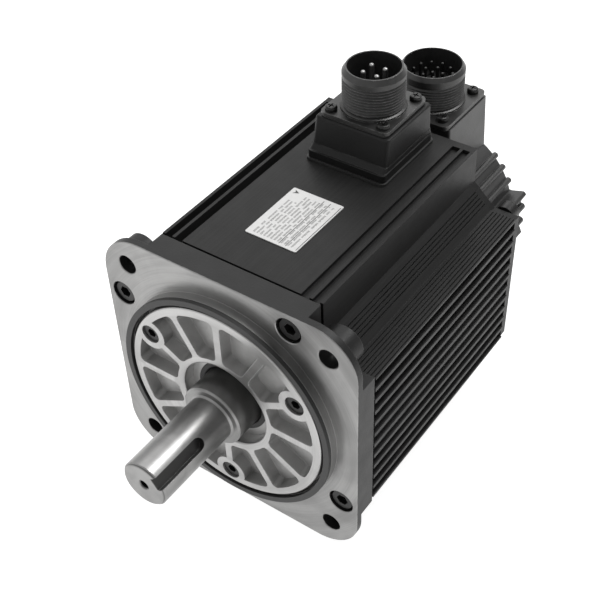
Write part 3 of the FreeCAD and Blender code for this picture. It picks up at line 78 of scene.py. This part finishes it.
class Shader:
    """A material whose node graph is written as nested calls. Lengths are in metres."""

    def __init__(self, name, metallic=0.0):
        self.material = bpy.data.materials.new(name)
        self.material.use_nodes = True
        self.tree = self.material.node_tree
        self.surface = self.tree.nodes["Principled BSDF"]
        self.surface.inputs["Metallic"].default_value = metallic
        self.place = self.add("ShaderNodeTexCoord").outputs["Object"]

    def add(self, kind, inputs=(), **settings):
        item = self.tree.nodes.new(kind)
        for name, value in settings.items():
            setattr(item, name, value)
        for name, value in dict(inputs).items():
            self.feed(item.inputs[name], value)
        return item

    def feed(self, socket, value):
        if isinstance(value, bpy.types.NodeSocket):
            self.tree.links.new(value, socket)
        else:
            socket.default_value = value

    def set(self, **inputs):
        for name, value in inputs.items():
            self.feed(self.surface.inputs[name.replace("_", " ")], value)
        return self.material

    def noise(self, size, detail=3.0, rough=0.5, place=None, bend=0.0):
        """Cloudy values about 0.5, whose features are about size across."""
        return self.add("ShaderNodeTexNoise", {
            "Vector": place or self.place, "Scale": 1 / size, "Detail": detail,
            "Roughness": rough, "Distortion": bend}).outputs["Fac"]

    def stretched(self, x, y, z, place=None):
        """The place with each axis scaled, so that a pattern draws out along the small ones."""
        return self.add("ShaderNodeVectorMath", {0: place or self.place, 1: (x, y, z)},
                        operation="MULTIPLY").outputs["Vector"]

    def arithmetic(self, operation, first, second=0.0):
        return self.add("ShaderNodeMath", {0: first, 1: second}, operation=operation).outputs["Value"]

    def sum(self, first, second):
        return self.arithmetic("ADD", first, second)

    def product(self, first, second):
        return self.arithmetic("MULTIPLY", first, second)

    def remainder(self, share):
        """What a share leaves of 1."""
        return self.arithmetic("SUBTRACT", 1.0, share)

    def axis(self, name):
        return self.add("ShaderNodeSeparateXYZ", {"Vector": self.place}).outputs[name]

    def radius(self):
        """Distance from the shaft axis."""
        flat = self.stretched(1.0, 0.0, 1.0)
        return self.add("ShaderNodeVectorMath", {0: flat}, operation="LENGTH").outputs["Value"]

    def polar_place(self):
        """A place made of the distance from the shaft axis, the angle about it, and Y."""
        angle = self.arithmetic("ARCTAN2", self.axis("Z"), self.axis("X"))
        return self.add("ShaderNodeCombineXYZ", {
            "X": self.radius(), "Y": self.product(angle, RADIAN_LENGTH),
            "Z": self.axis("Y")}).outputs["Vector"]

    def step(self, value, low, high):
        """0 below low, 1 above high; the other way round when low is above high."""
        return self.add("ShaderNodeMapRange", {
            "Value": value, "From Min": low, "From Max": high},
            interpolation_type="SMOOTHSTEP").outputs["Result"]

    def between(self, value, low, high):
        """A value of 0 to 1 spread over low to high."""
        return self.add("ShaderNodeMapRange", {
            "Value": value, "To Min": low, "To Max": high}).outputs["Result"]

    def mix(self, factor, first, second):
        """Two colours mixed; a number stands for a grey."""
        item = self.add("ShaderNodeMix", data_type="RGBA")
        self.feed(item.inputs[0], factor)
        for socket, value in ((item.inputs[6], first), (item.inputs[7], second)):
            self.feed(socket, value if isinstance(value, bpy.types.NodeSocket) else as_colour(value))
        return item.outputs[2]

    def mix_normals(self, factor, first, second):
        item = self.add("ShaderNodeMix", data_type="VECTOR")
        for socket, value in ((item.inputs[0], factor), (item.inputs[4], first),
                              (item.inputs[5], second)):
            self.feed(socket, value)
        return item.outputs[1]

    def bump(self, height, depth, normal=None):
        """A normal tilted by a height of 0 to 1 that stands for depth metres."""
        inputs = {"Height": height, "Distance": depth, "Strength": 1.0}
        if normal:
            inputs["Normal"] = normal
        return self.add("ShaderNodeBump", inputs).outputs["Normal"]

    def rounded(self, radius):
        """The normal with its sharp edges eased over radius."""
        return self.add("ShaderNodeBevel", {"Radius": radius}, samples=4).outputs["Normal"]

    def edges(self, rounded):
        """Near 1 where the eased normal leaves the true one, which is along sharp edges."""
        true = self.add("ShaderNodeNewGeometry").outputs["Normal"]
        likeness = self.add("ShaderNodeVectorMath", {0: true, 1: rounded},
                            operation="DOT_PRODUCT").outputs["Value"]
        return self.step(likeness, FLAT_LIKENESS, SHARP_LIKENESS)


def as_colour(value):
    """A colour with its alpha; a number stands for a slightly warm grey."""
    if isinstance(value, (int, float)):
        return (value, value * 0.995, value * 0.985, 1.0)
    return (*value, 1.0)


# ---------------------------------------------------------------- materials

def paint_coat(shader, tone, scuffed_and_highlit, grain=0.9 * MM, depth=0.06 * MM, soft=0.45 * MM):
    """Colour, roughness and normal of satin black paint over metal."""
    eased = shader.rounded(soft)
    patches = shader.noise(30 * MM, detail=4.0)
    dust = shader.noise(4 * MM, detail=5.0, rough=0.7)
    colour = shader.mix(patches, tone * 0.75, tone * 1.25)
    colour = shader.mix(shader.step(dust, 0.62, 0.80), colour, tone * 1.9)
    # Edges lightened in patches: paint worn through at edges, and a painted edge highlight.
    scuff_and_glint_patches = shader.step(shader.noise(6 * MM, detail=4.0), 0.35, 0.65)
    colour = shader.mix(shader.product(shader.edges(eased), scuff_and_glint_patches), colour, scuffed_and_highlit)
    rough = shader.between(shader.noise(8 * MM, detail=4.0), 0.36, 0.54)
    sand = shader.noise(grain, detail=2.0, rough=0.6)
    return colour, rough, shader.bump(sand, depth, eased)


def cast_paint(name, tone, gloss, scuffed_and_highlit):
    """Satin black paint on a casting, with its sandy skin showing through."""
    shader = Shader(name)
    colour, rough, normal = paint_coat(shader, tone, scuffed_and_highlit)
    return shader.set(Base_Color=colour, Roughness=rough, Normal=normal, Specular_IOR_Level=gloss)


def extruded_paint():
    """Black paint on the extrusion: faint draw lines along Y, and fin crests lightened in streaks as
    rubbed paint and a painted highlight.
    """
    shader = Shader("black_extruded_paint")
    colour, rough, normal = paint_coat(shader, tone=0.013, scuffed_and_highlit=0.07, grain=0.7 * MM,
                                       depth=0.03 * MM, soft=0.16 * MM)
    drawn = shader.noise(0.6 * MM, detail=2.0, place=shader.stretched(1.0, 0.012, 1.0))
    colour = shader.mix(shader.step(drawn, 0.35, 0.75), colour, 0.017)
    outward = shader.arithmetic("ABSOLUTE", shader.axis("X"))
    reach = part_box("motor_frame")[1].x
    # The outermost fin crests are lightened in streaks: rubbed paint and a painted highlight.
    crest = shader.step(outward, reach - 0.8 * MM, reach - 0.2 * MM)
    streaks = shader.noise(9 * MM, detail=4.0, rough=0.6, place=shader.stretched(1.0, 0.25, 1.0))
    rub_and_highlight_streaks = shader.step(streaks, 0.25, 0.75)
    colour = shader.mix(shader.product(crest, rub_and_highlight_streaks), colour, 0.045)
    return shader.set(Base_Color=colour, Roughness=rough, Specular_IOR_Level=0.16,
                      Normal=shader.bump(drawn, 0.014 * MM, normal))


def turned_aluminium(shader, dark, light):
    """Colour, roughness and normal of a face that was turned about the shaft axis and handled."""
    polar = shader.polar_place()
    rings = shader.noise(0.5 * MM, detail=2.0, rough=0.6, place=shader.stretched(1.0, 0.02, 0.2, polar))
    sweeps = shader.noise(6 * MM, place=shader.stretched(1.0, 0.16, 0.0, polar))
    clouds = shader.noise(28 * MM, detail=4.0, rough=0.55, bend=0.6)
    tone = shader.sum(shader.product(sweeps, 0.55), shader.product(clouds, 0.45))
    colour = shader.mix(shader.step(tone, 0.34, 0.66), dark, light)
    grooves = shader.product(shader.step(rings, 0.4, 0.7), 0.18)
    colour = shader.mix(grooves, colour, dark * 0.7)
    uneven = shader.sum(shader.product(rings, 0.5), shader.product(clouds, 0.5))
    rough = shader.between(uneven, 0.24, 0.46)
    return colour, rough, shader.bump(rings, 0.02 * MM, shader.rounded(0.3 * MM))


def flange_metal():
    """Bare turned metal on the bracket's front and out to a ring around the pilot, and black
    paint on the rest."""
    shader = Shader("flange_metal")
    metal, metal_rough, metal_normal = turned_aluminium(shader, dark=0.23, light=0.35)
    paint, paint_rough, paint_normal = paint_coat(shader, tone=0.011, scuffed_and_highlit=0.05)
    paint_begins, paint_covers, ragged_by = 0.40 * MM, 0.55 * MM, 0.3 * MM
    ring_radius, ring_fade = PILOT_RADIUS + 5.9 * MM, 0.2 * MM
    ragged = shader.product(shader.noise(2 * MM), ragged_by)
    front = shader.step(shader.sum(shader.axis("Y"), ragged), paint_covers, paint_begins)
    ring = shader.step(shader.radius(), ring_radius + ring_fade, ring_radius)
    bare = shader.arithmetic("MAXIMUM", front, ring)
    rough = shader.sum(shader.product(bare, metal_rough),
                       shader.product(shader.remainder(bare), paint_rough))
    return shader.set(Base_Color=shader.mix(bare, paint, metal), Metallic=bare, Roughness=rough,
                      Normal=shader.mix_normals(bare, paint_normal, metal_normal),
                      Specular_IOR_Level=0.25)


def cover_metal():
    """The ribbed cover: a skimmed light face, and as-cast grey floors and walls in its pockets."""
    shader = Shader("cover_metal", metallic=1.0)
    face, face_rough, face_normal = turned_aluminium(shader, dark=0.37, light=0.50)
    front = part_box("front_cover")[0].y
    hub_radius, hub_fade = 22.9 * MM, 0.3 * MM
    cast = shader.mix(shader.noise(7 * MM, detail=4.0, rough=0.6), 0.34, 0.54)
    skimmed = shader.step(shader.axis("Y"), front + 0.5 * MM, front + 0.2 * MM)
    hub = shader.step(shader.radius(), hub_radius + hub_fade, hub_radius)
    smooth = shader.arithmetic("MAXIMUM", skimmed, hub)
    rugged = shader.remainder(smooth)
    rough = shader.sum(shader.product(smooth, face_rough), shader.product(rugged, 0.55))
    grain = shader.product(shader.noise(0.7 * MM, rough=0.65), rugged)
    return shader.set(Base_Color=shader.mix(smooth, cast, face), Roughness=rough,
                      Normal=shader.bump(grain, 0.09 * MM, face_normal))


def ground_steel():
    """The shaft: round grinding marks, light handling stains, and a duller milled keyway."""
    shader = Shader("ground_steel", metallic=1.0)
    end_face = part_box("shaft")[0].y
    keyway_ends, keyway_sure = -28 * MM, -30 * MM
    marks = shader.noise(0.35 * MM, detail=2.0, rough=0.6,
                         place=shader.stretched(0.02, 0.02, 1.0, shader.polar_place()))
    stains = shader.noise(16 * MM, bend=0.4)
    colour = shader.mix(shader.step(stains, 0.30, 0.70), 0.21, 0.31)
    colour = shader.mix(shader.product(marks, 0.15), colour, 0.20)
    sunk = shader.step(shader.radius(), SHAFT_RADIUS - 0.25 * MM, SHAFT_RADIUS - 0.6 * MM)
    ahead = shader.step(shader.axis("Y"), keyway_ends, keyway_sure)
    behind_face = shader.step(shader.axis("Y"), end_face + 0.1 * MM, end_face + 0.5 * MM)
    milled = shader.product(shader.product(sunk, ahead), behind_face)
    colour = shader.mix(milled, colour, 0.10)
    uneven = shader.sum(shader.product(marks, 0.5), shader.product(stains, 0.5))
    return shader.set(Base_Color=colour, Roughness=shader.between(uneven, 0.30, 0.40),
                      Normal=shader.bump(marks, 0.012 * MM, shader.rounded(0.25 * MM)))


def plain_metal(name, tones, rough, metallic=1.0, edge_scuff_and_glint=None):
    """A metal with uneven tone and gloss. Where it has an edge colour, its edges are lightened in
    patches, as wear and a painted edge highlight.
    """
    shader = Shader(name, metallic)
    eased = shader.rounded(SMALL_EDGE)
    clouds = shader.noise(4 * MM, detail=4.0, rough=0.6)
    colour = shader.mix(clouds, *tones)
    if edge_scuff_and_glint:
        # Edges lightened in patches: wear mixed with a painted edge highlight.
        scuff_and_glint_patches = shader.step(shader.noise(2 * MM), 0.3, 0.6)
        colour = shader.mix(shader.product(shader.edges(eased), scuff_and_glint_patches), colour, edge_scuff_and_glint)
    grain = shader.noise(1.2 * MM, rough=0.6)
    return shader.set(Base_Color=colour, Roughness=shader.between(clouds, rough * 0.75, rough * 1.25),
                      Normal=shader.bump(grain, 0.02 * MM, eased))


def plain_polymer(name, tones, rough):
    """Moulded plastic or rubber with a fine matt skin."""
    shader = Shader(name)
    clouds = shader.noise(5 * MM, detail=4.0, rough=0.6)
    grain = shader.noise(0.8 * MM, rough=0.6)
    return shader.set(Base_Color=shader.mix(clouds, *tones),
                      Roughness=shader.between(clouds, rough * 0.85, rough * 1.15),
                      Normal=shader.bump(grain, 0.03 * MM, shader.rounded(SMALL_EDGE)))


def laminations():
    """Stacked sheet steel: fine layers across the shaft axis."""
    shader = Shader("lamination_steel", metallic=1.0)
    sheet = 0.5 * MM
    layers = shader.add("ShaderNodeTexWave", {
        "Vector": shader.place, "Scale": 1 / (math.pi * sheet), "Distortion": 0.0},
        bands_direction="Y").outputs["Fac"]
    striped = shader.mix(layers, 0.12, 0.36)
    return shader.set(Base_Color=shader.mix(shader.noise(6 * MM), striped, 0.28), Roughness=0.45,
                      Normal=shader.bump(layers, 0.05 * MM))


def copper():
    """Enamelled winding wire."""
    shader = Shader("winding_copper", metallic=1.0)
    clouds = shader.noise(3 * MM)
    return shader.set(Base_Color=shader.mix(clouds, (0.42, 0.13, 0.05), (0.70, 0.29, 0.12)),
                      Roughness=shader.between(clouds, 0.2, 0.4),
                      Normal=shader.bump(clouds, 0.04 * MM), Coat_Weight=0.5, Coat_Roughness=0.15)


def label_film():
    """White printed film: faint mottling and a soft gloss."""
    shader = Shader("label_film")
    mottle = shader.noise(2.5 * MM, detail=4.0, rough=0.65)
    waves = shader.noise(6 * MM, detail=2.0)
    return shader.set(Base_Color=shader.mix(mottle, 0.50, 0.62),
                      Roughness=shader.between(mottle, 0.3, 0.45),
                      Normal=shader.bump(waves, 0.03 * MM, shader.rounded(SMALL_EDGE)))


def ink(name, tones):
    shader = Shader(name)
    speck = shader.noise(0.5 * MM, detail=2.0)
    return shader.set(Base_Color=shader.mix(speck, *tones), Roughness=shader.between(speck, 0.4, 0.6))


def disc_glass():
    shader = Shader("disc_glass")
    haze = shader.noise(4 * MM)
    return shader.set(Base_Color=shader.mix(haze, (0.75, 0.82, 0.82), (0.85, 0.90, 0.90)),
                      Roughness=shader.between(haze, 0.02, 0.08), Transmission_Weight=0.8, IOR=1.5)


def dress(material, *names):
    for name in names:
        mesh = NODES[name].data
        mesh.materials.clear()
        mesh.materials.append(material)


def dress_nodes():
    """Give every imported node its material."""
    bearing_pieces = [side + piece for side in ("front_bearing_", "rear_bearing_")
                      for piece in ("outer_ring", "inner_ring", "balls", "shields")]
    dress(flange_metal(), "front_flange")
    dress(cover_metal(), "front_cover")
    dress(plain_polymer("pilot_ring_rubber", tones=(0.012, 0.030), rough=0.5), "pilot_ring")
    dress(plain_metal("black_oxide", tones=(0.018, 0.045), rough=0.34, metallic=0.75, edge_scuff_and_glint=0.16),
          "front_cover_screws", "bracket_screws", "rear_bracket_screws", "rear_cover_screws",
          "power_box_screws", "power_receptacle_screws", "encoder_receptacle_screws")
    dress(plain_metal("seal_steel", tones=(0.30, 0.48), rough=0.4), "oil_seal_case")
    dress(plain_polymer("seal_rubber", tones=(0.012, 0.028), rough=0.55),
          "oil_seal_lip", "power_box_gasket", "power_receptacle_gasket", "encoder_receptacle_gasket")
    dress(plain_metal("bearing_steel", tones=(0.45, 0.66), rough=0.2), *bearing_pieces, "wave_washer")
    dress(plain_metal("cage_brass", tones=((0.50, 0.34, 0.13), (0.68, 0.50, 0.22)), rough=0.3),
          "front_bearing_cage", "rear_bearing_cage")
    dress(ground_steel(), "shaft")
    dress(laminations(), "rotor_core", "stator_core")
    dress(plain_metal("magnet_coat", tones=(0.20, 0.34), rough=0.35), "rotor_magnets")
    dress(extruded_paint(), "motor_frame", "rear_bracket")
    dress(cast_paint("black_cast_paint", tone=0.026, gloss=0.5, scuffed_and_highlit=0.10), "rear_cover")
    dress(cast_paint("black_box_paint", tone=0.008, gloss=0.25, scuffed_and_highlit=0.05), "power_box")
    dress(copper(), "slot_windings", "front_winding_head", "rear_winding_head")
    dress(plain_metal("hub_aluminium", tones=(0.45, 0.66), rough=0.3), "encoder_hub", "encoder_posts")
    dress(disc_glass(), "encoder_disc")
    dress(plain_polymer("board_green", tones=((0.01, 0.09, 0.03), (0.02, 0.16, 0.05)), rough=0.4),
          "encoder_board")
    dress(plain_polymer("black_plastic", tones=(0.008, 0.020), rough=0.45),
          "encoder_reader", "power_insert", "encoder_insert")
    dress(plain_polymer("lead_insulation", tones=((0.22, 0.02, 0.02), (0.34, 0.04, 0.03)), rough=0.4),
          "encoder_leads", "power_leads")
    dress(plain_metal("connector_metal", tones=(0.045, 0.085), rough=0.42, metallic=0.8, edge_scuff_and_glint=0.26),
          "power_receptacle", "encoder_receptacle")
    dress(plain_metal("pin_silver", tones=(0.24, 0.40), rough=0.4), "power_pins")
    # Painted shade: the encoder pins get a darkened copy of the pin silver.
    dress(plain_metal("shaded_pin_silver", tones=(0.04, 0.08), rough=0.5), "encoder_pins")
    dress(label_film(), "nameplate")


# ---------------------------------------------------------------- pieces

def piece_from(name, build, material, body):
    """A mesh object made by build(bm), riding on a body."""
    mesh = bpy.data.meshes.new(name)
    bm = bmesh.new()
    build(bm)
    bmesh.ops.recalc_face_normals(bm, faces=bm.faces)
    bm.to_mesh(mesh)
    bm.free()
    item = bpy.data.objects.new(name, mesh)
    bpy.context.scene.collection.objects.link(item)
    mesh.materials.append(material)
    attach(item, body)


def prism(bm, corners, low, high):
    """A closed solid over a flat outline of (x, y) corners, from height low to high."""
    bottom = [bm.verts.new((x, y, low)) for x, y in corners]
    top = [bm.verts.new((x, y, high)) for x, y in corners]
    bm.faces.new(list(reversed(bottom)))
    bm.faces.new(top)
    for index in range(len(corners)):
        after = (index + 1) % len(corners)
        bm.faces.new([bottom[index], bottom[after], top[after], top[index]])


def label_print():
    """Rows of generic bars, thin rules and a small arrowhead, printed on the nameplate.

    Rows follow one another along X, and each row and rule runs along Y.
    """
    low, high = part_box("nameplate")
    draw = random.Random(11)
    wide, long = high.x - low.x, high.y - low.y
    base, top = high.z - 0.01 * MM, high.z + 0.02 * MM

    def bar(bm, x, y, width, length):
        prism(bm, [(x, y), (x + width, y), (x + width, y + length), (x, y + length)], base, top)

    def text_rows(bm):
        rows, short_rows = 12, 3
        first_row, row_span, half_letter = 0.13, 0.74, 0.4 * MM
        margin, end_margin, mark_margin = 0.05, 0.09, 0.24
        least_stroke = 0.25 * MM
        for row in range(rows):
            x = low.x + wide * (first_row + row_span * row / (rows - 1)) - half_letter
            y = low.y + long * margin
            limit = high.y - long * (mark_margin if row < short_rows else end_margin)
            while y < limit:
                word = min(draw.uniform(2.0, 6.5) * MM, limit - y)
                letters = y
                while letters < y + word - least_stroke:
                    stroke = draw.uniform(0.30, 0.65) * MM
                    tall = draw.uniform(0.65, 1.0) * MM
                    bar(bm, x, letters, tall, min(stroke, y + word - letters))
                    letters += stroke + draw.uniform(0.10, 0.20) * MM
                y += word + draw.uniform(0.6, 2.0) * MM

    def rules(bm):
        line_width, margin, span = 0.32 * MM, 0.03, 0.93
        for share in (0.635, 0.765, 0.965):
            bar(bm, low.x + wide * share, low.y + long * margin, line_width, long * span)

    def arrowhead(bm):
        size, notch = 2.8 * MM, 0.3
        x, y = low.x + wide * 0.06, high.y - long * 0.11
        middle = y + size * 0.5
        prism(bm, [(x, y), (x + size, middle), (x, y + size), (x + size * notch, middle)], base, top)

    grey_ink = ink("grey_ink", tones=(0.20, 0.32))
    black_ink = ink("black_ink", tones=(0.02, 0.05))
    piece_from("nameplate_rows", text_rows, grey_ink, body="housing")
    piece_from("nameplate_rules", rules, black_ink, body="housing")
    piece_from("nameplate_mark", arrowhead, black_ink, body="housing")


# ---------------------------------------------------------------- studio

def floor_plate():
    """A pale, faintly glowing floor just below the lowest point of the motor."""
    reach, gap = 6.0, 0.2 * MM
    level = CAD_BOX[0][2] - gap
    mesh = bpy.data.meshes.new("floor")
    bm = bmesh.new()
    bm.faces.new([bm.verts.new((x * reach, y * reach, level)) for x, y in
                  ((-1, -1), (1, -1), (1, 1), (-1, 1))])
    bm.to_mesh(mesh)
    bm.free()
    floor = bpy.data.objects.new("floor", mesh)
    bpy.context.scene.collection.objects.link(floor)
    shader = Shader("pale_floor")
    tone = shader.mix(shader.noise(0.4, detail=2.0), 0.38, 0.42)
    mesh.materials.append(shader.set(Base_Color=tone, Roughness=0.85, Emission_Strength=0.9,
                                     Emission_Color=(1.0, 1.0, 1.0, 1.0)))


def softbox(name, place, aim, width, length, power):
    light = bpy.data.lights.new(name, "AREA")
    light.shape = "RECTANGLE"
    light.size = width
    light.size_y = length
    light.energy = power
    item = bpy.data.objects.new(name, light)
    item.location = place
    item.rotation_euler = (Vector(aim) - Vector(place)).to_track_quat("-Z", "Y").to_euler()
    bpy.context.scene.collection.objects.link(item)


def studio():
    """White surroundings that dim from -X to +X, and two soft lights above and behind."""
    left_strength, right_strength = 0.90, 0.34
    motor_middle = (0.0, 0.05, 0.0)
    world = bpy.data.worlds.new("studio")
    bpy.context.scene.world = world
    world.use_nodes = True
    tree = world.node_tree
    background = tree.nodes["Background"]
    background.inputs["Color"].default_value = (1.0, 1.0, 1.0, 1.0)
    side = tree.nodes.new("ShaderNodeSeparateXYZ")
    tree.links.new(tree.nodes.new("ShaderNodeTexCoord").outputs["Generated"], side.inputs[0])
    fall = tree.nodes.new("ShaderNodeMapRange")
    for name, value in (("From Min", -1.0), ("From Max", 1.0),
                        ("To Min", left_strength), ("To Max", right_strength)):
        fall.inputs[name].default_value = value
    tree.links.new(side.outputs["X"], fall.inputs["Value"])
    tree.links.new(fall.outputs["Result"], background.inputs["Strength"])
    softbox("overhead", place=(0.28, 0.60, 1.25), aim=motor_middle, width=0.30, length=0.90, power=12.0)
    softbox("back_left", place=(-0.75, 1.05, 1.10), aim=motor_middle, width=1.2, length=1.2, power=6.0)
    bpy.context.scene.view_settings.view_transform = "Standard"


def camera():
    """The viewing direction, distance and slight roll of the studio camera."""
    place = (0.2227, -0.2472, 0.3558)
    azimuth, elevation, roll = math.radians(36.608), math.radians(42.239), math.radians(-2.292)
    lens = bpy.data.cameras.new("camera")
    lens.lens = 66.98
    lens.sensor_width = 36.0
    lens.clip_start = 0.01
    item = bpy.data.objects.new("camera", lens)
    bpy.context.scene.collection.objects.link(item)
    back = Vector((math.sin(azimuth) * math.cos(elevation), -math.cos(azimuth) * math.cos(elevation),
                   math.sin(elevation)))
    right = Vector((0, 0, 1)).cross(back).normalized()
    up = back.cross(right)
    axes = Matrix((right, up, back)).transposed() @ Matrix.Rotation(roll, 3, "Z")
    item.matrix_world = Matrix.Translation(place) @ axes.to_4x4()
    bpy.context.scene.camera = item


dress_nodes()
label_print()
floor_plate()
studio()
camera()
